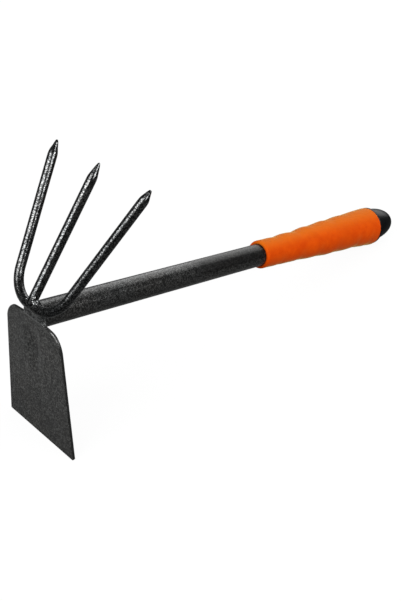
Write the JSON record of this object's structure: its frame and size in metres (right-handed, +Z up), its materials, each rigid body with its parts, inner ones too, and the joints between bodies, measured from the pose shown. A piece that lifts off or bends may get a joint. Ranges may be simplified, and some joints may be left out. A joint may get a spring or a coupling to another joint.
{
  "type": "hand hoe and three prong cultivator",
  "caption": "Hand garden tool: hammered black tube with a flat trapezoid hoe blade below the head, a fork of round pointed prongs above it and a ribbed orange grip with a domed plug.",
  "frame": {"origin": "centre of the footprint of the tool as it stands on the blade's lower edge and the plug's rim, on that surface", "axes": "+X from the head to the grip's plug, +Y across the tool towards the far prong of the picture, +Z up, towards the prongs"},
  "size_m": [0.3826, 0.0912, 0.1773],
  "materials": {
    "paint": "gloss hammered black enamel",
    "grip": "matte soft orange",
    "cap": "satin black"
  },
  "bodies": {
    "root": {"handle_tube": "paint", "tine_bow": "paint", "centre_tine": "paint", "hoe_blade": "paint", "weld_front": "paint", "weld_blade": "paint", "weld_bow": "paint", "weld_tine_near": "paint", "weld_tine_far": "paint", "grip_sleeve": "grip", "end_cap": "cap"}
  },
  "joints": []
}
